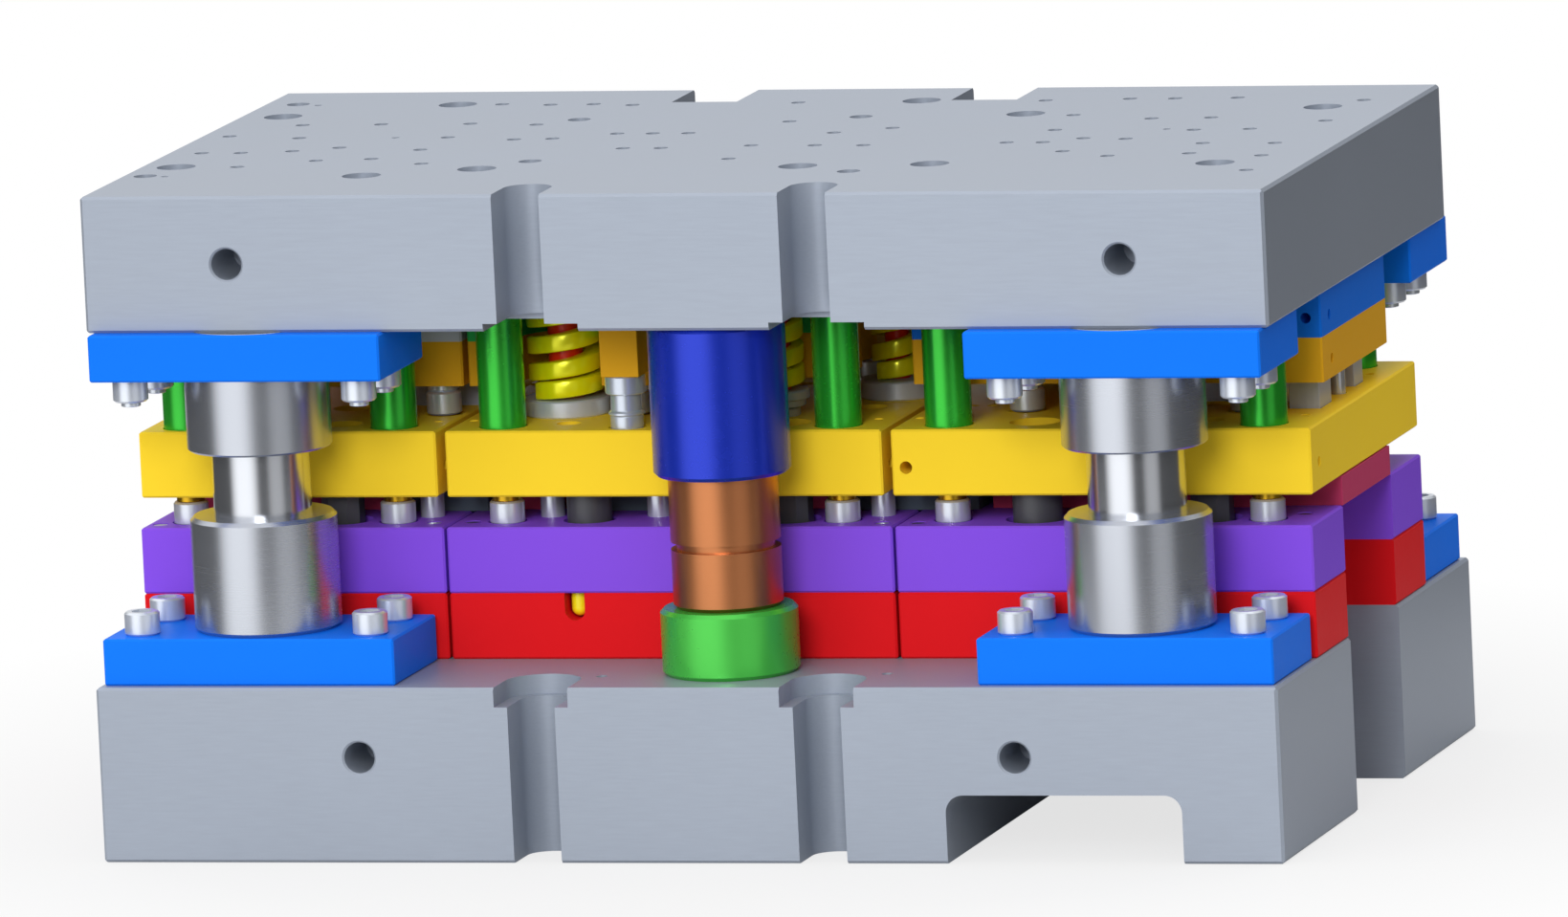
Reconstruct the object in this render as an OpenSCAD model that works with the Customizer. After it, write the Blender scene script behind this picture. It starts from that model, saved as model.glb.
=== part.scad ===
// Progressive stamping die on a four-post die set, at its rest height.
// The origin is the bottom centre of the lower shoe: +X runs along the strip,
// +Y to the back and +Z up.

/* [Die set] */
// Length of both shoes along the strip
shoe_length = 620; // [590:2:680]
// Depth of the lower shoe, front to back
lower_shoe_depth = 400; // [360:2:440]
// Thickness of the lower shoe
lower_shoe_h = 90; // [80:1:110]
// Distance of the upper shoe's front face behind that of the lower shoe
upper_front_setback = 15; // [12:0.5:18]
// Distance of the upper shoe's back face in front of that of the lower shoe
upper_rear_setback = 20; // [15:0.5:22]
// Thickness of the upper shoe
upper_shoe_h = 70; // [66:1:90]
// Chamfer on the edges of the shoes
shoe_chamfer = 1.5; // [0.5:0.1:2.5]

/* [Guide posts] */
// Diameter of the guide posts
post_d = 50; // [44:0.5:54]
// Distance of the post axis from the end of the shoe
post_end_inset = 80; // [78:0.5:84]
// Distance of the post axis from the front of the lower shoe
post_edge_inset = 45; // [44:0.5:47]
// Depth of the post seat in the lower shoe
post_seat_depth = 30; // [15:1:45]
// Length that a post stands above the lower shoe
post_reach = 170; // [150:1:174]
// Outer diameter of the collar round the foot of a post
collar_d = 75; // [66:0.5:77]
// Height of that collar
collar_h = 59; // [40:1:64]
// Outer diameter of the guide bush
bush_d = 74; // [66:0.5:76.5]
// Length of the guide bush
bush_length = 63; // [50:1:66]
// Radial running clearance between post and bush
post_clearance = 0.05; // [0.03:0.01:0.1]
// Length of a retainer plate along the strip
retainer_length = 154; // [144:1:158]
// Depth of a retainer plate
retainer_depth = 77; // [74:0.5:79]
// Thickness of a retainer plate
retainer_h = 24; // [18:0.5:28]
// Spacing of the retainer screws along the strip
retainer_screw_dx = 121; // [110:0.5:124]
// Spacing of the retainer screws, front to back
retainer_screw_dy = 44; // [36:0.5:48]

/* [Die stack] */
// Place of the left seam between the die plates
left_seam_x = -147; // [-149:0.5:-146]
// Place of the right seam between the die plates
right_seam_x = 90; // [89:0.5:91]
// Place of the left seam between the stripper plates
left_stripper_seam_x = -148.5; // [-150:0.5:-147]
// Place of the right seam between the stripper plates
right_stripper_seam_x = 87; // [86:0.5:88]
// Gap between neighbouring die plates
die_seam_gap = 1.5; // [0.6:0.1:3]
// Gap between neighbouring stripper plates
stripper_seam_gap = 5; // [3:0.1:6]
// Distance of the plates from the end of the shoe
plate_end_gap = 1; // [0:0.1:3]
// Gap between the die plates and the retainer plates
plate_retainer_gap = 3.5; // [2.5:0.5:6]
// Thickness of the backing plates under the die plates
backing_h = 34; // [28:0.5:40]
// Thickness of the die plates
die_plate_h = 34; // [30:0.5:40]
// Chamfer on the edges of the plates
plate_chamfer = 1; // [0.4:0.1:1.5]
// Distance of the stripper plates' front and back behind those of the die plates
stripper_setback = 4; // [3:0.5:5]
// Thickness of the stripper plates
stripper_h = 34; // [32:0.5:38]
// Depth of the punch plates, front to back
punch_plate_depth = 132; // [128:0.5:134]
// Thickness of the punch plates
punch_plate_h = 23; // [20:0.5:26]
// Thickness of the backing plates over the punch plates
punch_backing_h = 23.5; // [20:0.5:28]

/* [Motion] */
// Open height between die plates and stripper plates
strip_gap = 15; // [14.8:0.1:17]
// Open height between stripper plates and punch plates
punch_gap = 16.5; // [16:0.1:19]
// Closing stroke of the upper half
closing_stroke = 29; // [24:0.5:29.5]

/* [Cut-outs] */
// Width of the chute at the right end
chute_w = 100; // [96:0.5:104]
// Length of the chute at the right end
chute_length = 49; // [48:0.5:54]
// Extra length of the chute in the lower shoe, where it meets the channel
chute_runout = 6; // [4:0.5:8]
// Distance of the channel under the lower shoe from the right end
channel_end_inset = 52; // [50:0.5:53]
// Width of the channel under the lower shoe
channel_w = 123; // [100:1:124]
// Height of the channel under the lower shoe
channel_h = 35; // [25:0.5:45]
// Radius in the upper corners of the channel
channel_r = 9; // [4:0.5:14]
// Width of the clamping slots
clamp_slot_w = 25; // [18:0.5:28]
// Depth of the clamping slots
clamp_slot_depth = 36; // [28:0.5:38]
// Spacing of the two clamping slots
clamp_slot_pitch = 150; // [140:1:156]
// Distance of the slot pair to the left of the middle
clamp_slot_shift = 5; // [0:0.5:8]
// Width of the washer recess round a lower clamping slot
slot_recess_w = 39; // [32:0.5:42]
// Depth of that washer recess
slot_recess_h = 10; // [6:0.5:16]
// Diameter of the lifting holes
lifting_hole_d = 16; // [12:0.5:20]
// Depth of the lifting holes
lifting_hole_depth = 40; // [24:1:50]

/* [Gas cylinders] */
// Place of the cylinders along the strip
cylinder_x = 12; // [10:0.5:14]
// Gap between the die plates and the thrust pads
pad_gap = 1; // [0.5:0.5:2]
// Diameter of the cylinder body
cylinder_d = 70; // [64:0.5:70]
// Length of the cylinder body
cylinder_length = 78; // [70:0.5:84]
// Diameter of the ram
ram_d = 56; // [44:0.5:58]
// Depth that the ram reaches into the cylinder at rest
ram_insert = 44; // [30:0.5:45]
// Height of the thrust pad
ram_pad_h = 34; // [28:0.5:40]

/* [Stripper hangers] */
// Distance of the hanger rows from the front and back of the stripper plates
hanger_edge_inset = 17; // [16:0.5:19]
// Distance of the hangers from a seam
hanger_seam_inset = 29; // [28.5:0.5:30]
// Distance of the first hanger from the left end
hanger_left_inset = 21; // [20:0.5:23]
// Distance of the last hanger from the right end
hanger_right_inset = 28; // [26:0.5:29]
// Outer diameter of the spools
spool_d = 24; // [20:0.5:26]
// Thickness of the stripper floor that rests on the washers
hanger_floor = 8; // [6:0.5:9]
// Thickness of the spool washers
spool_washer_h = 4; // [2:0.5:4]
// Thread size of the die's cap screws
screw_d = 12; // [8:0.5:12]

/* [Springs] */
// Outer diameter of the heavy spring
heavy_spring_d = 39; // [30:0.5:42]
// Outer diameter of the light springs
light_spring_d = 27; // [22:0.5:28]
// Height of the spring seats
seat_h = 9; // [5:0.5:10]
// Depth of the spring pockets in the upper shoe
spring_pocket_depth = 20; // [18:0.5:30]

/* [Hidden] */
$fn = 64;

// Levels of the stack, from the bolster up
backing_z = lower_shoe_h;
die_z = backing_z + backing_h;
die_top = die_z + die_plate_h;
stripper_z = die_top + strip_gap;
stripper_top = stripper_z + stripper_h;
punch_z = stripper_top + punch_gap;
punch_top = punch_z + punch_plate_h;
upper_z = punch_top + punch_backing_h;
upper_top = upper_z + upper_shoe_h;
stripper_lift = closing_stroke / 2;

// Outlines in plan
shoe_x = shoe_length / 2;
lower_y = lower_shoe_depth / 2;
upper_y0 = -lower_y + upper_front_setback;
upper_y1 = lower_y - upper_rear_setback;
plate_x = shoe_x - plate_end_gap;
channel_x0 = shoe_x - channel_end_inset - channel_w;
post_x = shoe_x - post_end_inset;
post_y = lower_y - post_edge_inset;
die_y = post_y - retainer_depth / 2 - plate_retainer_gap;
stripper_y = die_y - stripper_setback;
punch_y = punch_plate_depth / 2;
hanger_row_y = stripper_y - hanger_edge_inset;
cylinder_y = die_y + cylinder_d / 2 + pad_gap;

// Datums that the lists of places are measured from: ends, seams and edges
left = -plate_x;
right = plate_x;
seam1 = left_seam_x;
seam2 = right_seam_x;
front = upper_y0;
back = upper_y1;

// Clearances and small sizes
touch = 0.05;
eps = 0.01;
head_d = 1.5 * screw_d;
head_h = screw_d;
socket_d = 0.96 * screw_d;
socket_depth = 0.5 * screw_d;
washer_d = screw_d + 2.4;
slide = 0.3;
bore_clearance = 1;
post_top_gap = 2;
lid = 2;

// Places of the four posts and of their screws
ends = [-1, 1];
function corner(sx, sy) = [sx * post_x, sy * post_y];
retainer_screws = [for (sx = ends, sy = ends)
    [sx * retainer_screw_dx / 2, sy * retainer_screw_dy / 2]];

// The three stations from left to right, between the seams
die_seams = [left_seam_x, right_seam_x];
stripper_seams = [left_stripper_seam_x, right_stripper_seam_x];
function plate_x0(i, seams, gap) = i == 0 ? -plate_x : seams[i - 1] + gap / 2;
function plate_x1(i, seams, gap) = i == 2 ? plate_x : seams[i] - gap / 2;
function in_station(x, i) = x > plate_x0(i, die_seams, 0) && x < plate_x1(i, die_seams, 0);
hanger_xs = [-plate_x + hanger_left_inset, left_stripper_seam_x - hanger_seam_inset,
    left_stripper_seam_x + hanger_seam_inset, right_stripper_seam_x - hanger_seam_inset,
    right_stripper_seam_x + hanger_seam_inset, plate_x - hanger_right_inset];
hangers = [for (x = hanger_xs, s = ends) [x, s * hanger_row_y]];

// Front clamping slots, and the rear notches of the upper shoe
clamp_slots = [-clamp_slot_pitch / 2 - clamp_slot_shift, clamp_slot_pitch / 2 - clamp_slot_shift];
rear_notch_w = 35;
rear_notch_depth = 44;
relief_w = 50;
relief_h = 4;
relief_run = 8;

// Hangers
spool_bore_d = spool_d + bore_clearance;
spool_end_z = stripper_z + hanger_floor + stripper_lift + 2.5;
hanger_hole_d = screw_d + 0.6;
head_pocket_d = head_d + 2;
hanger_head_top = stripper_z - spool_washer_h;
head_pocket_z = hanger_head_top - head_h - closing_stroke - lid;

// Guides of the strippers: x, size, round or square, bore in the die plate
guide_row_y = hanger_row_y - 4;
guide_bottom_z = die_top - 8;
guide_top_z = stripper_top - 16;
guide_chamfer = 5;
guides = [[seam1 - 61, 20, false, 31], [seam1 + 70, 23, true, 27], [seam2 - 60, 20, false, 31],
    [seam2 + 69.5, 25.5, true, 33], [right - 58, 20, false, 31]];

// Lifters: pins in front of the strip line, bars and blocks along it
lifter_top = stripper_z - slide;
lifter_pin_d = 12.5;
lifter_pin_xs = [seam1 - 17, seam1 + 47, seam1 + 103.5, seam2 - 15];
lifter_pin_y = hanger_row_y - 16;
lifter_stem_d = 10;
lifter_foot_z = die_z + 4;
cushion_floor_z = backing_z - 14;
cushion_wall = 2.6;
lifter_pocket_h = stripper_lift + 2 * slide;
lifter_bar_z = die_top - lifter_pocket_h + stripper_lift + slide;
bar_w = 19;
rail_y = 60;
block_y = 55;
rails = [[seam1 - 36, seam1 + 8], [seam1 + 65, seam1 + 99], [seam2 - 34, seam2 + 31]];
blocks = [[left + 9, seam1 - 49], [seam1 + 23, seam1 + 47], [seam2 - 70, seam2 - 46],
    [seam2 + 37, right - 47]];
stem_inset = 9;
short_bar = 45;
function stems_of(b) = b[1] - b[0] < short_bar
    ? [(b[0] + b[1]) / 2] : [b[0] + stem_inset, b[1] - stem_inset];
bar_stems = [for (b = blocks, x = stems_of(b), s = ends) [x, s * (block_y - bar_w / 2)],
    for (b = rails, x = stems_of(b), s = ends) [x, s * (rail_y - bar_w / 2)]];
pin_places = [for (x = lifter_pin_xs, s = ends) [x, s * lifter_pin_y]];
end_block_x0 = blocks[len(blocks) - 1][1] + touch;
end_block_y = chute_w / 2 - 2 * slide;

// Neck turned into a ram
neck_rise = 30;
neck_h = 4;
neck_depth = 3;

// Punches: form punches as x, y, length, depth; pierce punches as x, y, diameter
form_punch_places = [[right - 19, -33, 16, 24], [right - 18, 35, 14, 18], [right - 74, -5, 24, 20],
    [seam1 + 117, -44, 28, 22], [seam1 - 23, -5, 36, 26]];
pierce_punch_places = [[right - 38, -16, 8], [right - 14, 4, 8], [left + 39, -20, 10], [left + 39, 20, 10],
    [seam1 - 78, 0, 8], [seam2 + 34, -18, 8], [seam2 + 34, 18, 8], [seam2 + 95, 0, 12],
    [seam1 + 87, 14, 10], [seam2 - 100, 14, 8]];
punch_entry = 3;
punch_tip_z = die_top + closing_stroke - punch_entry;
punch_clearance = 0.5;
die_clearance = 0.1;
die_land = 8;
slug_relief = 1.5;

// Places of the open bores in the top of the upper shoe
large_bores = [[left + 23, back - 86], [left + 106, back - 47], [left + 19, front + 103],
    [-181, front + 69], [-126, front + 90], [43, front + 92], [46, back - 45],
    [111, front + 97], [115, back - 95], [right - 48, front + 94], [right - 41, back - 78]];
medium_bores = [[left + 18, back - 42], [left + 12, front + 72], [-121, back - 104], [-105, -70],
    [29, back - 101], [75, front + 73]];
small_bores = [[left + 43, 63], [left + 55, 17], [left + 65, -29], [left + 15, 25], [left + 18, -34],
    [left + 39, -34], [left + 52, front + 102], [left + 87, -18], [left + 88, -63], [left + 85, 64],
    [-193, -58], [-176, -27], [-161, -76], [-174, 16], [-176, 64], [-179, back - 47],
    [-152, back - 50], [-129, back - 49], [-107, back - 53], [-139, 59], [-136, 7], [-116, 9],
    [-86, 25], [-67, 25], [-48, 25], [-68, -27], [-48, -27], [-2, -20], [-1, -66],
    [-19, back - 49], [-5, 64], [30, 23], [32, -21], [57, 38], [58, -22], [113, back - 48],
    [142, back - 101], [146, 27], [132, -16], [151, -16], [169, -3], [170, -48], [198, -65],
    [192, -6], [157, back - 44], [181, back - 44], [187, 65], [right - 89, 24], [right - 91, 67],
    [right - 72, -23], [right - 70, -58], [right - 95, back - 43], [right - 60, 26], [right - 34, -24],
    [right - 30, -67], [right - 25, front + 68], [right - 27, 53], [right - 25, back - 55]];
pin_bores = [[left + 30, back - 46], [left + 23, front + 70], [left + 107, 16], [right - 104, 27]];
large_bore_d = 20;
medium_bore_d = 12;
small_bore_d = 7.5;
pin_bore_d = 4;
top_bore_depth = 10;

// Lifting holes, jacking holes, screws and dowels of the lower half
lower_lift_x = post_x - 58;
lower_lift_z = 54;
upper_lift_x = post_x + 4;
upper_lift_z = 35;
retainer_thread = 24;
screw_boss_h = 2.5;
jack_d = 6;
jack_places = [[seam1 + 95, -lower_y + 35], [seam2 + 6, -lower_y + 42]];
dowel_d = 8;
dowel_depth = 30;
dowel_z = lower_shoe_h - dowel_depth;
dowel_places = [for (s = ends) each [[left + 7, s * (die_y - 12)], [seam1 - 10, s * (die_y - 16)],
    [seam1 + 10, s * (die_y - 18)], [seam2 - 9, s * (die_y - 12)], [seam2 + 10, s * (die_y - 12)],
    [right - 13, s * (die_y - 38)]]];
die_head_z = 2;
die_thread = 20;
die_screw_places = [for (s = ends) each [[left + 61, s * (die_y - 12)], [seam1 + 49, s * (die_y - 8)],
    [seam2 - 100, s * (die_y - 13)], [seam2 + 32, s * 69], [right - 37, s * 69]],
    [left + 10, 0], [seam1 - 58, 0], [seam1 + 17, 0], [seam2 - 15, 0]];

// Strip locator in the front of the middle backing plate
locator_x = seam1 + 67;
locator_slot_w = 10.5;
locator_slot_depth = 20;
locator_slot_h = 8.8;
locator_d = 8.5;
locator_y = -die_y + locator_slot_depth / 2;
locator_seat = 10;

// Upper shoe
relief_shift = 5;
rear_notch_shift = 9;
hanger_thread = 26;
cylinder_places = [for (s = ends) [cylinder_x, s * cylinder_y]];

// Stripper springs: x, y, outer diameter, rod diameter, seat diameter, extra seat height
heavy = [heavy_spring_d, 17.5, 45, 0];
light = [light_spring_d, 12.5, 40.5, 0];
tall = [light_spring_d, 12.5, 31, 4.5];
spring_row_y = hanger_row_y - 5;
heavy_place = [seam1 + 50, -50];
middle_place = [seam2 - 27, 7];
spring_places = [[seam1 - 93, -spring_row_y, light], [seam1 - 93, spring_row_y, light],
    [heavy_place[0], heavy_place[1], heavy], [middle_place[0], middle_place[1], light],
    [seam2 - 72, -59, tall], [seam2 - 115, spring_row_y, light], [right - 94, -spring_row_y, light],
    [right - 94, spring_row_y, light]];

// Punch plates and their screws; the middle plate leaves room for its springs
punch_x0 = [left + 3, seam1 + 2.5, seam2 + 1];
punch_x1 = [seam1 - 0.5, seam2 - 42, right - 3];
seat_gap = 1.5;
heavy_gap = heavy[2] + seat_gap;
middle_step_x = seam2 - 88;
middle_step_depth = 24;
side_hole_d = 5.5;
side_hole_depth = 20;
punch_screw_places = [[seam1 - 16, -50], [left + 19, -50], [left + 19, 50], [seam1 - 16, 50],
    [seam1 + 14, 54], [seam1 + 85, -52], [seam2 - 54, 50], [seam2 + 55, -46], [seam2 + 55, 46],
    [right - 47, 50], [right - 47, -50]];
punch_screw_drop = 4.5;
punch_head_extra = 3;
punch_head_h = 3;

// Front punch block and pilot
pilot_x = seam1 + 94.5;
pilot_y = -hanger_row_y - 4;
block_side = 20;
pilot_block_z = upper_z - 36;
pilot_bore_d = 19.5;
pilot_d = 17;
pilot_neck_d = 16;
pilot_ring_d = 18.5;
pilot_ring_h = 3;
pilot_head_d = 21;
pilot_head_h = 9.5;
pilot_tip = stripper_top - 8;
pilot_ring_z = stripper_top + 6;
pilot_bore_floor = pilot_tip - stripper_lift - lid;

// Stripper plates
mark_d = 5;
mark_depth = 4;
stripper_marks = [for (s = ends) each [[seam1 - 11, s * 77], [seam1 + 7, s * 75], [seam2 - 16, s * 74],
    [seam2 + 5, s * 72], [right - 13, s * 66], [seam2 + 22, s * 27], [seam2 + 31, s * 27]]];
top_holes = [[seam1 - 60, 84, 20], [seam1 - 72, 27, 20], [seam1 + 60, 84, 12.4], [seam2 - 61, 84, 24],
    [seam2 - 31, 29, 15], [seam2 + 69, 84, 26], [right - 70, 23, 15], [right - 59, 80, 15]];
top_hole_depth = 12;
relief_y = 47;
relief_depth = 0.8;
tall_foot_d = 21;
tall_neck_d = 27;
pull_hole_d = 6.5;
pull_hole_rise = 14.5;

spring_wall_share = 0.25;
coil_pitch = 13.5;
coil_h = 9;
dead_turns = 0.9;
coil_gap = 0.4;
spring_top_z = upper_z + spring_pocket_depth;
rod_top_gap = 4;
pocket_clearance = 1.5;

// A block with the same chamfer on all its edges
module chamfered_block(x0, x1, y0, y1, z0, z1, c) {
    intersection() {
        translate([0, 0, z0]) linear_extrude(z1 - z0) chamfered_rect(x0, x1, y0, y1, c);
        translate([0, y1, 0]) rotate([90, 0, 0])
            linear_extrude(y1 - y0) chamfered_rect(x0, x1, z0, z1, c);
        translate([x0, 0, 0]) rotate([90, 0, 90])
            linear_extrude(x1 - x0) chamfered_rect(y0, y1, z0, z1, c);
    }
}

// A rectangle with cut corners
module chamfered_rect(a0, a1, b0, b1, c) {
    polygon([[a0 + c, b0], [a1 - c, b0], [a1, b0 + c], [a1, b1 - c],
        [a1 - c, b1], [a0 + c, b1], [a0, b1 - c], [a0, b0 + c]]);
}

// A round bar with chamfered ends
module turned(d, z0, z1, c) {
    rotate_extrude() polygon([[0, z0], [d / 2 - c, z0], [d / 2, z0 + c],
        [d / 2, z1 - c], [d / 2 - c, z1], [0, z1]]);
}

// A straight bore
module bore(d, z0, z1) {
    translate([0, 0, z0]) cylinder(d = d, h = z1 - z0);
}

// Copies of a child at a list of places
module at(places) {
    for (p = places) translate([p[0], p[1], 0]) children();
}

// A hexagon socket cap screw: head from z up, shank down
module cap_screw(z, shank) {
    difference() {
        union() {
            turned(head_d, z, z + head_h, 1);
            bore(screw_d, z - shank, z + eps);
        }
        translate([0, 0, z + head_h - socket_depth])
            cylinder(d = socket_d, h = socket_depth + eps, $fn = 6);
    }
}

// The same screw upside down: head from z down, shank up
module hanging_screw(z, shank) {
    mirror([0, 0, 1]) cap_screw(-z, shank);
}

// A slot open to the front, with a round inner end
module front_slot(x, w, y, depth, z0, z1) {
    translate([x, y + depth - w / 2, 0]) bore(w, z0, z1);
    translate([x - w / 2, y - 1, z0]) cube([w, depth - w / 2 + 1, z1 - z0]);
}

module lower_shoe() {
    slot_centre_y = -lower_y + clamp_slot_depth - clamp_slot_w / 2;
    color([0.67, 0.71, 0.76]) difference() {
        chamfered_block(-shoe_x, shoe_x, -lower_y, lower_y, 0, lower_shoe_h, shoe_chamfer);
        chute(-eps, lower_shoe_h + eps, chute_runout);
        underside_channel();
        for (x = clamp_slots, s = ends) on_side(s) {
            front_slot(x, clamp_slot_w, -lower_y, clamp_slot_depth, -eps, lower_shoe_h + eps);
            translate([x, slot_centre_y, 0])
                bore(slot_recess_w, lower_shoe_h - slot_recess_h, lower_shoe_h + eps);
            translate([x - slot_recess_w / 2, -lower_y - 1, lower_shoe_h - slot_recess_h])
                cube([slot_recess_w, slot_centre_y + lower_y + 1, slot_recess_h + eps]);
        }
        for (x = [-lower_lift_x, lower_lift_x], s = ends) on_side(s)
            translate([x, -lower_y, lower_lift_z]) lifting_hole();
        at([for (sx = ends, sy = ends) corner(sx, sy)])
            bore(post_d + 2 * touch, lower_shoe_h - post_seat_depth, lower_shoe_h + eps);
        at(retainer_screw_places())
            bore(screw_d, lower_shoe_h - retainer_thread, lower_shoe_h + eps);
        at(die_screw_places) {
            bore(head_pocket_d, -eps, die_head_z + head_h);
            bore(screw_d + 1, 0, lower_shoe_h + eps);
        }
        at(dowel_places) bore(dowel_d + 2 * touch, dowel_z - touch, lower_shoe_h + eps);
        at(jack_places) bore(jack_d, lower_shoe_h - retainer_thread, lower_shoe_h + eps);
        at(bar_stems) bore(lifter_stem_d + 1, cushion_floor_z, lower_shoe_h + eps);
        at(pin_places) bore(lifter_pin_d + 1, cushion_floor_z, lower_shoe_h + eps);
        slug_holes(-eps, lower_shoe_h + eps, 2 * slug_relief);
    }
}

// Front features as they are for -1, mirrored to the back for 1
module on_side(s) {
    if (s > 0) mirror([0, 1, 0]) children();
    else children();
}

// Holes in the front and back faces for lifting bars
module lifting_hole() {
    rotate([-90, 0, 0]) rotate_extrude() polygon([[0, -eps], [lifting_hole_d / 2 + 1 + eps, -eps],
        [lifting_hole_d / 2, 1], [lifting_hole_d / 2, lifting_hole_depth], [0, lifting_hole_depth]]);
}

// The open notch that lets finished parts drop at the right end
module chute(z0, z1, runout) {
    translate([plate_x - chute_length - runout, -chute_w / 2, z0])
        cube([chute_length + runout + plate_end_gap + 1, chute_w, z1 - z0]);
}

// The channel right through the underside, with round upper corners
module underside_channel() {
    translate([channel_x0, lower_y + 1, 0]) rotate([90, 0, 0]) linear_extrude(lower_shoe_depth + 2) {
        translate([0, -1]) square([channel_w, channel_h - channel_r + 1]);
        translate([channel_r, -1]) square([channel_w - 2 * channel_r, channel_h + 1]);
        for (x = [channel_r, channel_w - channel_r])
            translate([x, channel_h - channel_r]) circle(channel_r);
    }
}

function retainer_screw_places() = [for (sx = ends, sy = ends, p = retainer_screws)
    corner(sx, sy) + p];

// Holes under each punch, with extra room all round
module slug_holes(z0, z1, extra) {
    for (p = pierce_punch_places) translate([p[0], p[1], 0]) bore(p[2] + 2 * extra, z0, z1);
    for (p = form_punch_places) translate([p[0], p[1], z0]) linear_extrude(z1 - z0)
        square([p[2] + 2 * extra, p[3] + 2 * extra], center = true);
}

module backing_plate(i) {
    color([0.87, 0.11, 0.13]) difference() {
        chamfered_block(plate_x0(i, die_seams, die_seam_gap), plate_x1(i, die_seams, die_seam_gap),
            -die_y, die_y, backing_z, die_z, plate_chamfer);
        if (i == 2) chute(backing_z - eps, die_z + eps, 0);
        at(die_screw_places) bore(screw_d + 1, backing_z - eps, die_z + eps);
        at(dowel_places) bore(dowel_d + 2 * touch, backing_z - eps, die_z + eps);
        at(bar_stems) bore(lifter_stem_d + 1, backing_z - eps, die_z + eps);
        at(pin_places) bore(lifter_pin_d + 1, backing_z - eps, die_z + eps);
        slug_holes(backing_z - eps, die_z + eps, 1.5 * slug_relief);
        if (i == 1) front_slot(locator_x, locator_slot_w, -die_y, locator_slot_depth,
            die_z - locator_slot_h, die_z + eps);
        if (i == 1) translate([locator_x, -die_y + locator_slot_depth / 2, die_z - locator_slot_h])
            rotate([90, 0, 0]) cylinder(d = locator_slot_w, h = locator_slot_depth, center = true);
    }
}

module die_plate(i) {
    color([0.49, 0.29, 0.84]) difference() {
        chamfered_block(plate_x0(i, die_seams, die_seam_gap), plate_x1(i, die_seams, die_seam_gap),
            -die_y, die_y, die_z, die_top, plate_chamfer);
        if (i == 2) chute(die_z - eps, die_top + eps, 0);
        at(hangers) bore(head_pocket_d, max(die_z - eps, head_pocket_z), die_top + eps);
        for (g = guides, s = ends) translate([g[0], s * guide_row_y, 0])
            bore(g[3], die_z - eps, die_top + eps);
        at(die_screw_places) bore(screw_d, die_z - eps, die_z + die_thread);
        at(dowel_places) bore(dowel_d + 2 * touch, die_z - eps, die_top + eps);
        at(bar_stems) bore(lifter_stem_d + 2 * touch, die_z - eps, die_top + eps);
        at(pin_places) bore(lifter_pin_d + 2 * touch, die_z - eps, die_top + eps);
        lifter_pockets();
        slug_holes(die_top - die_land, die_top + eps, die_clearance);
        slug_holes(die_z - eps, die_top - die_land + eps, slug_relief);
        translate([locator_x, locator_y, 0]) bore(locator_d + 2 * touch, die_z - eps, die_z + locator_seat);
    }
}

// Pockets that the lifter bars and blocks sink into
module lifter_pockets() {
    z = die_top - lifter_pocket_h;
    for (s = ends) on_side(s) {
        for (b = blocks) bar(b, block_y, z, die_top + eps, slide);
        for (b = rails) bar(b, rail_y, z, die_top + eps, slide);
    }
    translate([end_block_x0 - slide, -chute_w / 2, z])
        cube([plate_x - end_block_x0 + 1, chute_w, lifter_pocket_h + eps]);
}

// One bar of the lifter rows, grown by a clearance in plan
module bar(b, y, z0, z1, grow) {
    translate([b[0] - grow, -y - grow, z0]) cube([b[1] - b[0] + 2 * grow, bar_w + 2 * grow, z1 - z0]);
}

module post_retainer(sx, sy) {
    p = corner(sx, sy);
    color([0.09, 0.47, 0.96]) difference() {
        chamfered_block(p[0] - retainer_length / 2, p[0] + retainer_length / 2,
            p[1] - retainer_depth / 2, p[1] + retainer_depth / 2,
            lower_shoe_h, lower_shoe_h + retainer_h, plate_chamfer);
        at([p]) bore(post_d + 2 * touch, 0, upper_top);
        at([for (q = retainer_screws) p + q]) bore(screw_d + 2 * touch, 0, upper_top);
    }
}

module guide_post(sx, sy) {
    color([0.75, 0.77, 0.8]) at([corner(sx, sy)])
        turned(post_d, lower_shoe_h - post_seat_depth + touch, lower_shoe_h + post_reach, lid);
}

module post_collars() {
    z0 = lower_shoe_h + retainer_h;
    color([0.72, 0.74, 0.77]) at([for (sx = ends, sy = ends) corner(sx, sy)]) difference() {
        turned(collar_d, z0, z0 + collar_h, lid);
        bore(post_d + 2 * touch, z0 - eps, z0 + collar_h + eps);
    }
}

module post_retainer_screws() {
    color([0.8, 0.83, 0.87]) at(retainer_screw_places())
        cap_screw(lower_shoe_h + retainer_h, retainer_h + retainer_thread - lid);
}

module ram_pads() {
    color([0.25, 0.7, 0.27]) at(cylinder_places)
        turned(cylinder_d, lower_shoe_h, lower_shoe_h + ram_pad_h, lid);
}

module die_screws() {
    color([0.8, 0.83, 0.87]) at(die_screw_places)
        hanging_screw(die_head_z + head_h, die_z + die_thread - die_head_z - head_h - lid);
}

module die_dowels() {
    color([0.62, 0.64, 0.68]) at(dowel_places) turned(dowel_d, dowel_z, die_top - slide, slide);
}

module strip_locator() {
    z0 = die_z - locator_slot_h;
    color([0.98, 0.95, 0.1]) translate([locator_x, locator_y, 0]) {
        rotate_extrude() intersection() {
            union() {
                translate([0, z0]) circle(d = locator_d);
                translate([-locator_d / 2, z0]) square([locator_d, die_z + locator_seat - touch - z0]);
            }
            translate([0, z0 - locator_d]) square([locator_d, upper_top]);
        }
    }
}

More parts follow.
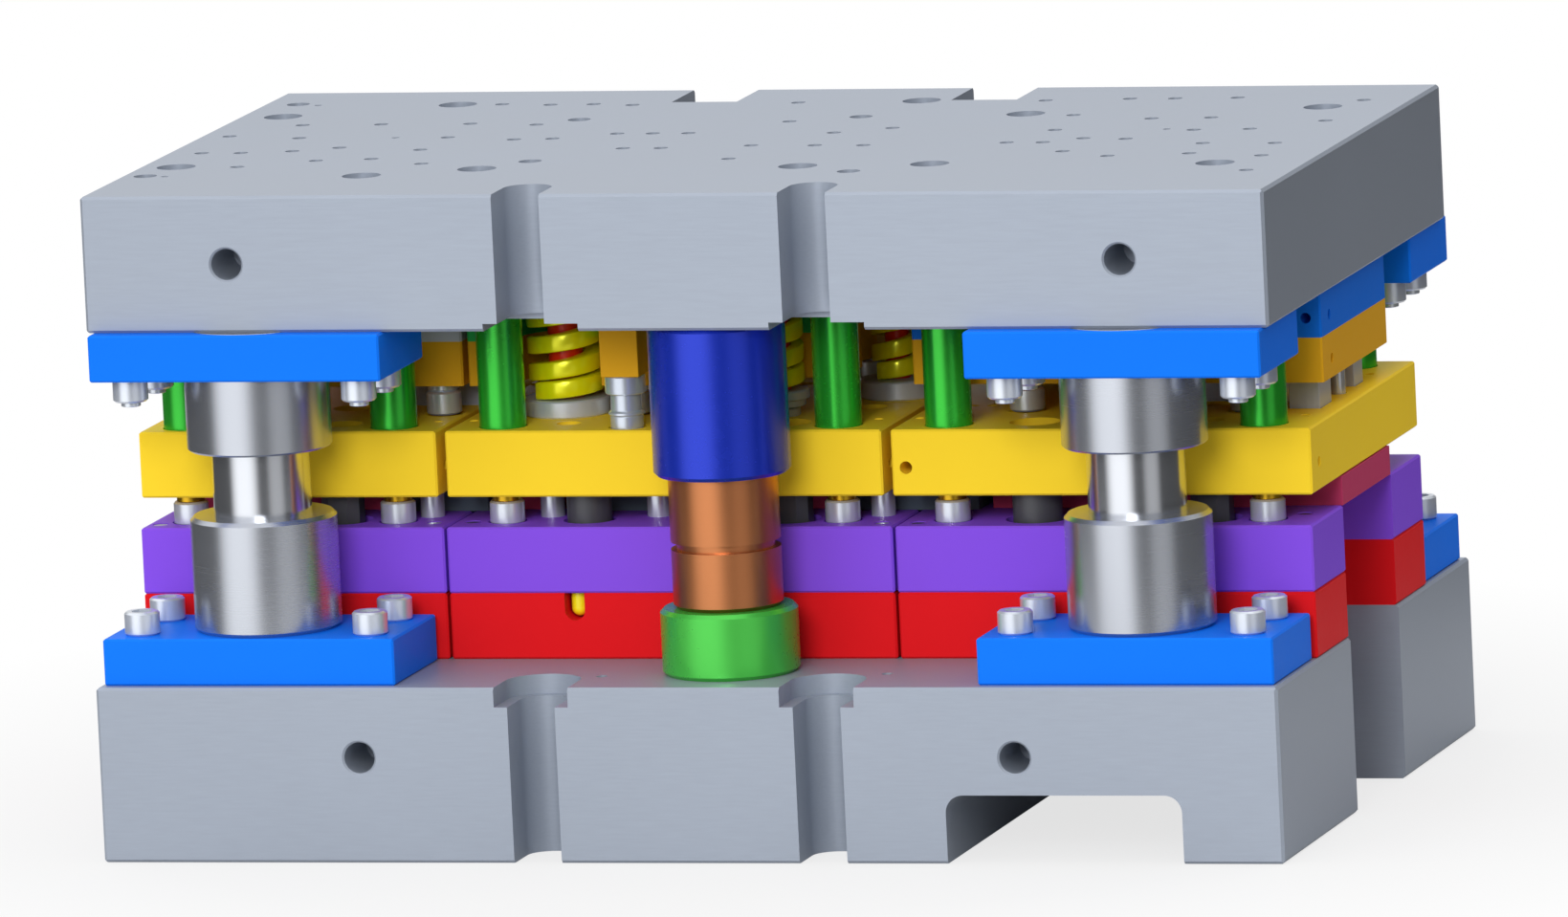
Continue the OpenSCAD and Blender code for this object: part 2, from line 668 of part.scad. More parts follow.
module lifter_cushions() {
    color([0.85, 0.5, 0.1]) {
        at(bar_stems) cushion(lifter_stem_d);
        at(pin_places) cushion(lifter_pin_d);
    }
}

// An elastomer spring: a plain tube under a stem or pin
module cushion(d) {
    difference() {
        bore(d - slide, cushion_floor_z, lifter_foot_z);
        bore(d - 2 * cushion_wall, cushion_floor_z - eps, lifter_foot_z + eps);
    }
}

module lifter_pins() {
    color([0.82, 0.85, 0.88]) {
        at(pin_places) turned(lifter_pin_d, lifter_foot_z, lifter_top, slide);
        at(bar_stems) turned(lifter_stem_d, lifter_foot_z, lifter_bar_z, slide);
    }
}

module lifter_rails() {
    color([0.33, 0.38, 0.42]) for (s = ends) on_side(s)
        for (b = rails) chamfered_block(b[0], b[1], -rail_y, -rail_y + bar_w,
            lifter_bar_z, lifter_top, slide);
}

// The long bars at the right end butt against the block that spans the chute
module lifter_blocks() {
    color([0.75, 0.24, 0.4]) {
        for (s = ends) on_side(s) for (b = blocks)
            chamfered_block(b[0], b[1], -block_y, -block_y + bar_w,
                lifter_bar_z, lifter_top, slide);
        difference() {
            chamfered_block(end_block_x0, plate_x, -end_block_y, end_block_y,
                lifter_bar_z, lifter_top, slide);
            slug_holes(0, upper_top, 1);
        }
    }
}

module rams() {
    z0 = lower_shoe_h + ram_pad_h;
    neck_z = z0 + neck_rise;
    color([0.71, 0.43, 0.25]) at(cylinder_places) difference() {
        turned(ram_d, z0, upper_z - cylinder_length + ram_insert, lid);
        difference() {
            bore(ram_d + 1, neck_z, neck_z + neck_h);
            bore(ram_d - 2 * neck_depth, neck_z - eps, neck_z + neck_h + 1);
        }
    }
}

module upper_shoe() {
    color([0.67, 0.71, 0.76]) difference() {
        chamfered_block(-shoe_x, shoe_x, upper_y0, upper_y1, upper_z, upper_top, shoe_chamfer);
        for (x = clamp_slots) {
            front_slot(x, clamp_slot_w, upper_y0, clamp_slot_depth, upper_z - eps, upper_top + eps);
            translate([x - relief_w / 2 + relief_shift, upper_y0 - 1, upper_z - eps])
                cube([relief_w, clamp_slot_depth + relief_run, relief_h]);
            rear_notch(x + rear_notch_shift);
        }
        for (x = [-upper_lift_x, upper_lift_x]) {
            translate([x, upper_y0, upper_z + upper_lift_z]) lifting_hole();
            translate([x, upper_y1, upper_z + upper_lift_z]) mirror([0, 1, 0]) lifting_hole();
        }
        at([for (sx = ends, sy = ends) corner(sx, sy)])
            bore(post_d + 4, upper_z - eps, lower_shoe_h + post_reach + closing_stroke + post_top_gap);
        at(retainer_screw_places()) bore(screw_d, upper_z - eps, upper_z + retainer_thread);
        at(hangers) bore(screw_d, upper_z - eps, upper_z + hanger_thread);
        for (p = spring_places) translate([p[0], p[1], 0])
            bore(p[2][0] + 2 * pocket_clearance, upper_z - eps, spring_top_z);
        at(punch_screw_places) bore(screw_d, upper_z - eps, upper_z + hanger_thread);
        at(large_bores) bore(large_bore_d, upper_top - top_bore_depth, upper_top + eps);
        at(medium_bores) bore(medium_bore_d, upper_top - top_bore_depth, upper_top + eps);
        at(small_bores) bore(small_bore_d, upper_top - top_bore_depth, upper_top + eps);
        at(pin_bores) bore(pin_bore_d, upper_top - top_bore_depth, upper_top + eps);
    }
}

// A square notch in the back of the upper shoe
module rear_notch(x) {
    translate([x - rear_notch_w / 2, upper_y1 - rear_notch_depth, upper_z - eps])
        cube([rear_notch_w, rear_notch_depth + 1, upper_shoe_h + 2 * eps]);
}

// Outlines of the three punch plates; the middle one leaves room for its springs
module punch_outline(i) {
    x0 = punch_x0[i];
    x1 = punch_x1[i];
    difference() {
        chamfered_rect(x0, x1, -punch_y, punch_y, plate_chamfer);
        if (i == 1) {
            translate([heavy_place[0], heavy_place[1]]) circle(d = heavy_gap);
            translate([heavy_place[0] - heavy_gap / 2, -punch_y - 1])
                square([heavy_gap, punch_y + heavy_place[1] + 1]);
            translate([middle_step_x, -punch_y - 1]) square([plate_x, middle_step_depth + 1]);
            translate(middle_place) circle(d = light[2] + seat_gap);
        }
    }
}

module punch_plate(i) {
    color([0.89, 0.66, 0.13]) difference() {
        translate([0, 0, punch_z]) linear_extrude(punch_plate_h) punch_outline(i);
        punch_seats();
        at(punch_screw_places) bore(screw_d + 2 * touch, punch_z - eps, punch_top + eps);
        side_holes(i, punch_z + 0.42 * punch_plate_h, [[2, -47], [0, -40]]);
    }
}

// Threaded holes in the end faces, each as station and y
module side_holes(i, z, places) {
    for (p = places) if (p[0] == i) {
        translate([punch_x1[i] + eps, p[1], z]) rotate([0, -90, 0])
            cylinder(d = side_hole_d, h = side_hole_depth);
    }
}

module punch_backing(i, shade) {
    color(shade) difference() {
        translate([0, 0, punch_top]) linear_extrude(punch_backing_h) punch_outline(i);
        at(punch_screw_places) bore(screw_d + 2 * touch, punch_top - eps, upper_z + eps);
        side_holes(i, punch_top + 0.4 * punch_backing_h, [[2, -49]]);
        if (i == 2) translate([punch_x1[i] - 8, -punch_y - eps, punch_top + 10])
            rotate([-90, 0, 0]) cylinder(d = side_hole_d, h = side_hole_depth);
    }
}

// Seats of the punches in the punch plates
module punch_seats() {
    for (p = pierce_punch_places) translate([p[0], p[1], 0]) {
        bore(p[2] + 2 * touch, punch_z - eps, punch_top + eps);
        bore(p[2] + punch_head_extra + 2 * touch, punch_top - punch_head_h, punch_top + eps);
    }
    for (p = form_punch_places) translate([p[0], p[1], punch_z - eps])
        linear_extrude(punch_plate_h + 2 * eps)
            square([p[2] + 2 * touch, p[3] + 2 * touch], center = true);
}

module front_punch_block() {
    color([0.89, 0.66, 0.13]) chamfered_block(pilot_x - block_side / 2, pilot_x + block_side / 2,
        pilot_y - block_side / 2, pilot_y + block_side / 2, pilot_block_z, upper_z, slide);
}

// A turned pilot: wide head under the block, neck, ring and guided tip
module front_pilot() {
    color([0.78, 0.8, 0.84]) translate([pilot_x, pilot_y, 0]) {
        turned(pilot_d, pilot_tip, pilot_ring_z + 1, 1);
        turned(pilot_ring_d, pilot_ring_z, pilot_ring_z + pilot_ring_h, 1);
        turned(pilot_neck_d, pilot_ring_z + 1, pilot_block_z - 1, slide);
        turned(pilot_head_d, pilot_block_z - pilot_head_h, pilot_block_z, 2 * slide);
    }
}

module bush_retainer(sx, sy) {
    p = corner(sx, sy);
    color([0.09, 0.47, 0.96]) difference() {
        chamfered_block(p[0] - retainer_length / 2, p[0] + retainer_length / 2,
            p[1] - retainer_depth / 2, p[1] + retainer_depth / 2,
            upper_z - retainer_h, upper_z, plate_chamfer);
        at([p]) bore(bush_d + 2 * touch, 0, upper_top);
        at([for (q = retainer_screws) p + q]) bore(screw_d + 2 * touch, 0, upper_top);
    }
}

module guide_bushes() {
    color([0.72, 0.74, 0.77]) at([for (sx = ends, sy = ends) corner(sx, sy)]) difference() {
        turned(bush_d, upper_z - bush_length, upper_z, 1);
        bore(post_d + 2 * post_clearance, 0, upper_top);
    }
}

// Screws with a small boss under the head instead of a socket
module bush_retainer_screws() {
    z = upper_z - retainer_h;
    color([0.8, 0.83, 0.87]) at(retainer_screw_places()) {
        bore(screw_d, z - eps, upper_z + retainer_thread - lid);
        turned(head_d, z - head_h, z, 1);
        turned(screw_d - 2, z - head_h - screw_boss_h, z - head_h + 1, slide);
    }
}

module gas_cylinders() {
    z0 = upper_z - cylinder_length;
    color([0.1, 0.18, 0.68]) at(cylinder_places) difference() {
        turned(cylinder_d, z0, upper_z, lid);
        bore(ram_d + 1, z0 - eps, upper_z - lid);
    }
}

module stripper_spools() {
    color([0.2, 0.69, 0.2]) at(hangers) difference() {
        turned(spool_d, spool_end_z, upper_z, slide);
        bore(screw_d + 2 * touch, 0, upper_top);
    }
}

module stripper_screws() {
    shank = upper_z + hanger_thread - lid - hanger_head_top;
    color([0.8, 0.83, 0.87]) at(hangers) hanging_screw(hanger_head_top, shank);
}

module spool_washers() {
    color([0.8, 0.64, 0.1]) at(hangers) difference() {
        turned(washer_d, hanger_head_top, stripper_z, slide);
        bore(screw_d + 2 * touch, 0, upper_top);
    }
}

// Screws that hang a little below the punch plates, heads down, on flat washers
module punch_plate_screws() {
    z = punch_z - punch_screw_drop;
    color([0.8, 0.83, 0.87]) at(punch_screw_places) {
        hanging_screw(z, upper_z + hanger_thread - lid - z);
        difference() {
            turned(screw_d + 4, z, punch_z, 1);
            bore(screw_d + 2 * touch, 0, upper_top);
        }
    }
}

module form_punches() {
    color([0.5, 0.53, 0.58]) for (p = form_punch_places)
        chamfered_block(p[0] - p[2] / 2, p[0] + p[2] / 2, p[1] - p[3] / 2, p[1] + p[3] / 2,
            punch_tip_z, punch_top, slide);
}

module pierce_punches() {
    color([0.82, 0.85, 0.88]) for (p = pierce_punch_places) translate([p[0], p[1], 0]) {
        bore(p[2], punch_tip_z, punch_top);
        bore(p[2] + punch_head_extra, punch_top - punch_head_h, punch_top);
    }
}

module stripper_plate(i) {
    x0 = plate_x0(i, stripper_seams, stripper_seam_gap);
    x1 = plate_x1(i, stripper_seams, stripper_seam_gap);
    color([0.98, 0.82, 0.18]) difference() {
        chamfered_block(x0, x1, -stripper_y, stripper_y, stripper_z, stripper_top, plate_chamfer);
        at(hangers) {
            bore(spool_bore_d, stripper_z + hanger_floor, stripper_top + eps);
            bore(hanger_hole_d, stripper_z - eps, stripper_top);
        }
        slug_holes(stripper_z - eps, stripper_top + eps, punch_clearance);
        for (g = guides, s = ends) translate([g[0], s * guide_row_y, 0]) {
            guide_shape(g[1] + 2 * touch, g[2], stripper_z - eps, guide_top_z + touch);
        }
        at(punch_screw_places) bore(head_d + 3,
            punch_z - punch_screw_drop - head_h - stripper_lift - lid, stripper_top + eps);
        if (i == 1) translate([pilot_x, pilot_y, 0]) bore(pilot_bore_d, pilot_bore_floor, stripper_top + eps);
        top_relief(x0, x1);
        at(stripper_marks) bore(mark_d, stripper_top - mark_depth, stripper_top + eps);
        for (h = top_holes, s = ends) translate([h[0], s * h[1], 0])
            bore(h[2], stripper_top - top_hole_depth, stripper_top + eps);
        if (i == 2) translate([x0 + 7.5, -stripper_y - eps, stripper_z + pull_hole_rise])
            rotate([-90, 0, 0]) cylinder(d = pull_hole_d, h = side_hole_depth);
        translate([x1 + eps, -stripper_y + 16, stripper_z + pull_hole_rise])
            rotate([0, -90, 0]) cylinder(d = side_hole_d, h = side_hole_depth / 2);
    }
}

// A shallow relief along the strip line in the top of the stripper plates
module top_relief(x0, x1) {
    a = x0 < -plate_x + 1 ? x0 + 10 : x0 - 1;
    b = x1 > plate_x - 1 ? x1 - 30 : x1 + 1;
    translate([a, -relief_y, stripper_top - relief_depth]) cube([b - a, 2 * relief_y, relief_depth + 1]);
}

// Cross-section of a stripper guide, round or square with cut corners
module guide_shape(w, round, z0, z1) {
    if (round) bore(w, z0, z1);
    else translate([0, 0, z0]) linear_extrude(z1 - z0)
        chamfered_rect(-w / 2, w / 2, -w / 2, w / 2, guide_chamfer);
}

module stripper_guides(i) {
    color([0.3, 0.31, 0.33]) for (g = guides, s = ends) if (in_station(g[0], i))
        translate([g[0], s * guide_row_y, 0]) guide_shape(g[1], g[2], guide_bottom_z, guide_top_z);
}

// Seats and rods of one station's springs; a seat in the relief sits lower
module spring_seats(i) {
    for (p = spring_places) if (in_station(p[0], i)) translate([p[0], p[1], 0]) {
        foot_z = stripper_top - (abs(p[1]) + p[2][2] / 2 < relief_y ? relief_depth : 0);
        spring_z = stripper_top + seat_h + p[2][3];
        color([0.78, 0.8, 0.84]) {
            if (p[2][3] > 0) {
                turned(tall_foot_d, foot_z, foot_z + seat_h / 2, 1);
                turned(tall_neck_d, foot_z + seat_h / 2 - 1, spring_z - 1, slide);
                turned(p[2][2], spring_z - seat_h / 2, spring_z, slide);
            }
            else turned(p[2][2], foot_z, spring_z, 1);
        }
        color([0.94, 0.2, 0.05]) bore(p[2][1], spring_z - 1, spring_top_z - stripper_lift - rod_top_gap);
    }
}

module springs(i) {
    color([1, 0.93, 0]) for (p = spring_places) if (in_station(p[0], i)) translate([p[0], p[1], 0])
        flat_wire_spring(p[2][0], stripper_top + seat_h + p[2][3], spring_top_z);
}

// Height of the coil centre line after t turns: closed coils at both ends
function coil_rise(t, n, active) = coil_gap * t + coil_h * min(t, dead_turns)
    + active * max(0, min(t - dead_turns, n - 2 * dead_turns)) + coil_h * max(0, t - n + dead_turns);

// A coil of flat wire with closed ends between two heights
module flat_wire_spring(d, z0, z1) {
    wall = d * spring_wall_share;
    active_h = z1 - z0 - coil_h - 2 * coil_h * dead_turns;
    n_active = max(1, round(active_h / coil_pitch * 2) / 2);
    n = n_active + 2 * dead_turns;
    active = (active_h - coil_gap * n) / n_active;
    steps = 20;
    count = ceil(n * steps);
    rings = [for (k = [0:count]) let (t = n * k / count, z = z0 + coil_rise(t, n, active))
        each [for (q = [[d / 2, 0], [d / 2, coil_h], [d / 2 - wall, coil_h], [d / 2 - wall, 0]])
            [q[0] * cos(360 * t), q[0] * sin(360 * t), z + q[1]]]];
    sides = [for (k = [0:count - 1], j = [0:3]) let (a = 4 * k + j, b = 4 * k + (j + 1) % 4)
        each [[a, b, b + 4], [a, b + 4, a + 4]]];
    polyhedron(rings, concat([[3, 2, 1, 0], [for (j = [0:3]) 4 * count + j]], sides), convexity = 10);
}

lower_shoe();
backing_plate(0);  // backing_plate_left
backing_plate(1);  // backing_plate_middle
backing_plate(2);  // backing_plate_right
die_plate(0);  // die_plate_left
die_plate(1);  // die_plate_middle
die_plate(2);  // die_plate_right
post_retainer(-1, -1);  // post_retainer_front_left
post_retainer(1, -1);  // post_retainer_front_right
post_retainer(-1, 1);  // post_retainer_rear_left
post_retainer(1, 1);  // post_retainer_rear_right
guide_post(-1, -1);  // guide_post_front_left
guide_post(1, -1);  // guide_post_front_right
guide_post(-1, 1);  // guide_post_rear_left
guide_post(1, 1);  // guide_post_rear_right
post_collars();
post_retainer_screws();
ram_pads();
die_screws();
die_dowels();
strip_locator();
lifter_cushions();
lifter_pins();
lifter_blocks();
lifter_rails();
rams();
upper_shoe();
punch_backing(0, [0.75, 0.76, 0.8]);  // punch_backing_left
punch_backing(1, [0.2, 0.72, 0.36]);  // punch_backing_middle
punch_backing(2, [0.09, 0.44, 0.88]);  // punch_backing_right
punch_plate(0);  // punch_plate_left
punch_plate(1);  // punch_plate_middle
punch_plate(2);  // punch_plate_right
front_punch_block();
front_pilot();
bush_retainer(-1, -1);  // bush_retainer_front_left
bush_retainer(1, -1);  // bush_retainer_front_right
bush_retainer(-1, 1);  // bush_retainer_rear_left
bush_retainer(1, 1);  // bush_retainer_rear_right
guide_bushes();
bush_retainer_screws();
gas_cylinders();
stripper_spools();
stripper_screws();
spool_washers();
punch_plate_screws();
form_punches();
pierce_punches();
stripper_plate(0);  // stripper_plate_left
stripper_plate(1);  // stripper_plate_middle
stripper_plate(2);  // stripper_plate_right
stripper_guides(0);  // stripper_guides_left
stripper_guides(1);  // stripper_guides_middle
stripper_guides(2);  // stripper_guides_right
spring_seats(0);  // spring_seats_left
spring_seats(1);  // spring_seats_middle
spring_seats(2);  // spring_seats_right
springs(0);  // springs_left
springs(1);  // springs_middle
springs(2);  // springs_right
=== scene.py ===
import math

import bpy
from mathutils import Matrix, Vector


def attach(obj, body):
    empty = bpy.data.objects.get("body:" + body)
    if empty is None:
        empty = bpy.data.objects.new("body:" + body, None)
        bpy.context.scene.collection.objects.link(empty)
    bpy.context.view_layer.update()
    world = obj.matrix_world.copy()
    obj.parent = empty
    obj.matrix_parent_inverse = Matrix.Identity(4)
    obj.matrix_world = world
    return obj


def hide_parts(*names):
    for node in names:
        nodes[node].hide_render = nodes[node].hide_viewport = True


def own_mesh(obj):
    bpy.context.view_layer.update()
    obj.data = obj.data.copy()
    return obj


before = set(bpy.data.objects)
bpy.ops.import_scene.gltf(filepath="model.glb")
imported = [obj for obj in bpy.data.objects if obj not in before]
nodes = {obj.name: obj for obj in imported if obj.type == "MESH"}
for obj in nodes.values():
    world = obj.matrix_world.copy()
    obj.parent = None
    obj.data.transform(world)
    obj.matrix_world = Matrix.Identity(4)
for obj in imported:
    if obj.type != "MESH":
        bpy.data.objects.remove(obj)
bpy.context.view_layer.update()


# lower shoe
# The lower shoe is a thick slab of tool steel, flame cut and ground flat all over.
# Its clamping slots, chute, channel and lifting holes are milled, and it carries
# the whole lower half of the die.
class Wire:
    """A shader socket that can be used in sums and products."""

    def __init__(self, finish, out):
        self.finish, self.out = finish, out

    def maths(self, operation, a, b):
        return self.finish.node("ShaderNodeMath", {"operation": operation}, {0: a, 1: b})

    def __add__(self, other):
        return self.maths("ADD", self, other)

    def __sub__(self, other):
        return self.maths("SUBTRACT", self, other)

    def __rsub__(self, other):
        return self.maths("SUBTRACT", other, self)

    def __mul__(self, other):
        return self.maths("MULTIPLY", self, other)

    __radd__ = __add__
    __rmul__ = __mul__

    def named(self, name):
        return Wire(self.finish, self.out.node.outputs[name])


class Finish:
    """The nodes of a material, on the piece's own Object coordinates, or of the world."""

    def __init__(self, owner):
        owner.use_nodes = True
        self.owner, self.tree = owner, owner.node_tree
        self.tree.nodes.clear()
        self.place = self.node("ShaderNodeTexCoord").named("Object")

    def node(self, kind, settings=None, sockets=None):
        made = self.tree.nodes.new(kind)
        for key, value in (settings or {}).items():
            setattr(made, key, value)
        for key, value in (sockets or {}).items():
            if isinstance(value, Wire):
                self.tree.links.new(value.out, made.inputs[key])
            else:
                made.inputs[key].default_value = value
        return Wire(self, made.outputs[0] if made.outputs else None)

    def stretched(self, scale):
        return self.node("ShaderNodeMapping", None, {"Vector": self.place, "Scale": scale})

    def noise(self, scale, detail=3.0, vector=None):
        return self.node("ShaderNodeTexNoise", None,
                         {"Vector": vector or self.place, "Scale": scale, "Detail": detail})

    def tinted(self, mask, low, high):
        mixed = self.node("ShaderNodeMix", {"data_type": "RGBA"},
                          {0: mask, 6: (*low, 1.0), 7: (*high, 1.0)})
        return Wire(self, mixed.out.node.outputs[2])

    def surface(self, metal, gloss, colour, roughness, relief, depth):
        """Close the material: relief is what stands out of the surface, up to depth."""
        normal = self.node("ShaderNodeBump", None,
                           {"Height": relief, "Distance": depth, "Strength": 0.6})
        shader = self.node("ShaderNodeBsdfPrincipled", None, {
            "Metallic": metal, "Specular IOR Level": gloss, "Base Color": colour,
            "Roughness": roughness, "Normal": normal})
        self.node("ShaderNodeOutputMaterial", None, {"Surface": shader})
        return self.owner


def tone(colour, share):
    """A colour made darker or lighter by a share."""
    return tuple(min(1.0, c * share) for c in colour)


def srgb(r, g, b):
    """Linear colour of a screen colour."""
    parts = [part / 255 for part in (r, g, b)]
    return tuple(((c + 0.055) / 1.055) ** 2.4 if c > 0.04045 else c / 12.92 for c in parts)


def ground_steel(name, colour, along, rough):
    """Surface-ground steel: fine straight lines, faint clouds, a few duller patches."""
    finish = Finish(bpy.data.materials.new(name))
    lines = finish.noise(60.0, 2.0, finish.stretched(along))
    clouds = finish.noise(9.0, 4.0)
    shade = lines * 0.6 + clouds * 0.4
    return finish.surface(0.3, 0.2, finish.tinted(shade, tone(colour, 0.9), tone(colour, 1.08)),
                          shade * 0.16 + (rough - 0.08), lines, 0.00001)


def dress(name, material):
    """Give a CAD node a better finish."""
    slots = nodes[name].data.materials
    for i in range(len(slots)):
        slots[i] = material
    if not len(slots):
        slots.append(material)


shoe_finish = ground_steel("shoe_steel_ground", srgb(156, 164, 177), (1.0, 14.0, 14.0), 0.42)
dress("lower_shoe", shoe_finish)

# upper shoe
# The upper shoe is a second slab of the same steel. Blind bores for the screws
# and dowels of the press slide are drilled in its top.
dress("upper_shoe", shoe_finish)


# retainers
# The eight retainers are steel plates, milled on all sides and painted blue. Four
# cap screws hold each one, and each clamps a guide post or a bush in its shoe.
def painted(name, colour, rough=0.42, gloss=0.03, metal=0.0):
    """Thin even paint on steel: slight clouds, a little orange peel, more or less gloss."""
    finish = Finish(bpy.data.materials.new(name))
    clouds = finish.noise(14.0, 3.0)
    peel = finish.noise(220.0, 2.0)
    return finish.surface(metal, gloss, finish.tinted(clouds, tone(colour, 0.95), tone(colour, 1.03)),
                          clouds * 0.08 + peel * 0.06 + (rough - 0.07), peel, 0.000002)


retainer_paint = painted("retainer_paint", srgb(20, 116, 240))
CORNERS = ("front_left", "front_right", "rear_left", "rear_right")
for end in CORNERS:
    dress("post_retainer_" + end, retainer_paint)
    dress("bush_retainer_" + end, retainer_paint)


# guide posts
# The posts are case-hardened steel, ground and polished; the collars round their
# feet and the bushes in the upper shoe are turned from steel bar.
def turned_steel(name, colour, rough, metal=0.95):
    """Steel turned or ground round a vertical axis: fine level rings."""
    finish = Finish(bpy.data.materials.new(name))
    rings = finish.noise(2600.0, 1.0, finish.stretched((0.01, 0.01, 1.0)))
    clouds = finish.noise(11.0, 3.0)
    shade = rings * 0.25 + clouds * 0.75
    return finish.surface(metal, 0.5, finish.tinted(shade, tone(colour, 0.95), tone(colour, 1.04)),
                          rings * 0.04 + clouds * 0.05 + (rough - 0.05), rings, 0.0000002)


post_finish = turned_steel("post_ground", srgb(205, 208, 214), 0.2)
collar_finish = turned_steel("collar_turned", srgb(184, 188, 196), 0.27, metal=0.9)
for end in CORNERS:
    dress("guide_post_" + end, post_finish)
dress("post_collars", collar_finish)
dress("guide_bushes", collar_finish)

# cap screws
# Hexagon socket cap screws of bright alloy steel, all of one thread size, with
# turned heads and broached sockets.
screw_finish = turned_steel("cap_screw_steel", srgb(214, 220, 228), 0.3, metal=0.6)
for name in ("post_retainer_screws", "bush_retainer_screws", "die_screws", "stripper_screws",
             "punch_plate_screws"):
    dress(name, screw_finish)
dress("die_dowels", turned_steel("dowel_steel", srgb(150, 154, 162), 0.3))

# die stack
# Three red backing plates of hardened steel spread the load of the three purple
# die plates, which are screwed and dowelled down through them.
backing_paint = painted("backing_plate_red", srgb(222, 26, 32))
die_paint = painted("die_plate_purple", srgb(134, 80, 224))
STATIONS = ("left", "middle", "right")
for station in STATIONS:
    dress("backing_plate_" + station, backing_paint)
    dress("die_plate_" + station, die_paint)
dress("strip_locator", painted("locator_yellow", srgb(250, 240, 30), 0.22, 0.5))

# lifters
# The lifter bars and pins carry the strip above the die between strokes. They
# stand on elastomer tubes in the lower half and sink into the die plates.
dress("lifter_blocks", painted("lifter_magenta", srgb(190, 62, 102)))
dress("lifter_rails", painted("lifter_slate", srgb(88, 100, 112)))
dress("lifter_pins", turned_steel("lifter_pin_chrome", srgb(214, 220, 228), 0.24, metal=0.6))


SHARP_FROM = math.radians(28)


def pick_none():
    bpy.ops.object.select_all(action="DESELECT")


def join(pieces):
    """Make one piece of several; the first one takes in the others."""
    pick_none()
    for piece in pieces:
        piece.select_set(True)
    bpy.context.view_layer.objects.active = pieces[0]
    bpy.ops.object.join()


def settle(name, material, body):
    """Name a finished piece, bring its place into its mesh and let it ride."""
    piece = bpy.context.object
    pick_none()
    piece.select_set(True)
    bpy.context.view_layer.objects.active = piece
    bpy.ops.object.transform_apply(location=True, rotation=True, scale=True)
    piece.name = name
    piece.data.name = name
    piece.data.materials.clear()
    piece.data.materials.append(material)
    bpy.ops.object.shade_smooth_by_angle(angle=SHARP_FROM)
    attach(piece, body)
    return piece


ROUND_SIDES, ROD_SIDES = 96, 64


def lathe(x, y, steps, sides=ROUND_SIDES):
    """Turn a solid: a disc is added and its top extruded and resized step by step."""
    pick_none()
    radius, z = steps[0]
    bpy.ops.mesh.primitive_circle_add(vertices=sides, radius=radius, fill_type="NGON",
                                      location=(x, y, z))
    bpy.ops.object.mode_set(mode="EDIT")
    bpy.ops.mesh.select_mode(type="FACE")
    bpy.ops.mesh.select_all(action="SELECT")
    for new_radius, new_z in steps[1:]:
        bpy.ops.mesh.extrude_region_move(TRANSFORM_OT_translate={"value": (0, 0, new_z - z)})
        share = new_radius / radius
        bpy.ops.transform.resize(value=(share, share, 1), center_override=(x, y, new_z))
        radius, z = new_radius, new_z
    bpy.ops.mesh.select_all(action="SELECT")
    bpy.ops.mesh.normals_make_consistent(inside=False)
    bpy.ops.object.mode_set(mode="OBJECT")
    return bpy.context.object


# cushions
# The elastomer tubes under the lifters are cast from polyurethane. All but the last
# pair sit in blind bores of the lower shoe.
def cushion_rubber():
    """Cast polyurethane: amber, cloudy and a little uneven."""
    finish = Finish(bpy.data.materials.new("cushion_polyurethane"))
    clouds = finish.noise(40.0, 3.0)
    return finish.surface(0.0, 0.4, finish.tinted(clouds, srgb(196, 120, 30), srgb(222, 142, 44)),
                          clouds * 0.1 + 0.5, clouds, 0.00005)


CUSHION_FLOOR, CUSHION_TOP, CUSHION_WALL, CUSHION_SIDES = 0.076, 0.128, 0.00245, 40
STEM_CUSHION, PIN_CUSHION, LIFTER_TRAVEL = 0.00485, 0.0061, 0.0145
BLOCK_ROW, RAIL_ROW, PIN_ROW, END_STEM_X = 0.0455, 0.0505, 0.076, 0.253
lifter_rows = ((BLOCK_ROW, (-0.291, -0.205, -0.112, 0.032, 0.136, END_STEM_X)),
               (RAIL_ROW, (-0.161, -0.065, 0.065, 0.112)))
stem_places = [(x, s * y) for s in (-1, 1) for y, xs in lifter_rows for x in xs]
pin_places = [(x, s * PIN_ROW) for s in (-1, 1) for x in (-0.164, -0.1, -0.0435, 0.075)]
tubes = []
for radius, places in ((STEM_CUSHION, stem_places), (PIN_CUSHION, pin_places)):
    for x, y in places:
        pick_none()
        bpy.ops.mesh.primitive_circle_add(vertices=CUSHION_SIDES, radius=radius, fill_type="NGON",
                                          location=(x, y, CUSHION_FLOOR))
        bpy.ops.object.mode_set(mode="EDIT")
        bpy.ops.mesh.select_mode(type="FACE")
        bpy.ops.mesh.select_all(action="SELECT")
        bpy.ops.mesh.inset(thickness=CUSHION_WALL)
        bpy.ops.mesh.delete(type="FACE")
        bpy.ops.mesh.select_all(action="SELECT")
        bpy.ops.mesh.extrude_region_move(
            TRANSFORM_OT_translate={"value": (0, 0, CUSHION_TOP - CUSHION_FLOOR)})
        bpy.ops.mesh.select_all(action="SELECT")
        bpy.ops.mesh.normals_make_consistent(inside=False)
        bpy.ops.object.mode_set(mode="OBJECT")
        tubes.append(bpy.context.object)
join(tubes)
cushions = settle("lifter_cushions_cast", cushion_rubber(), "lower_die")
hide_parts("lifter_cushions")
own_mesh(cushions)

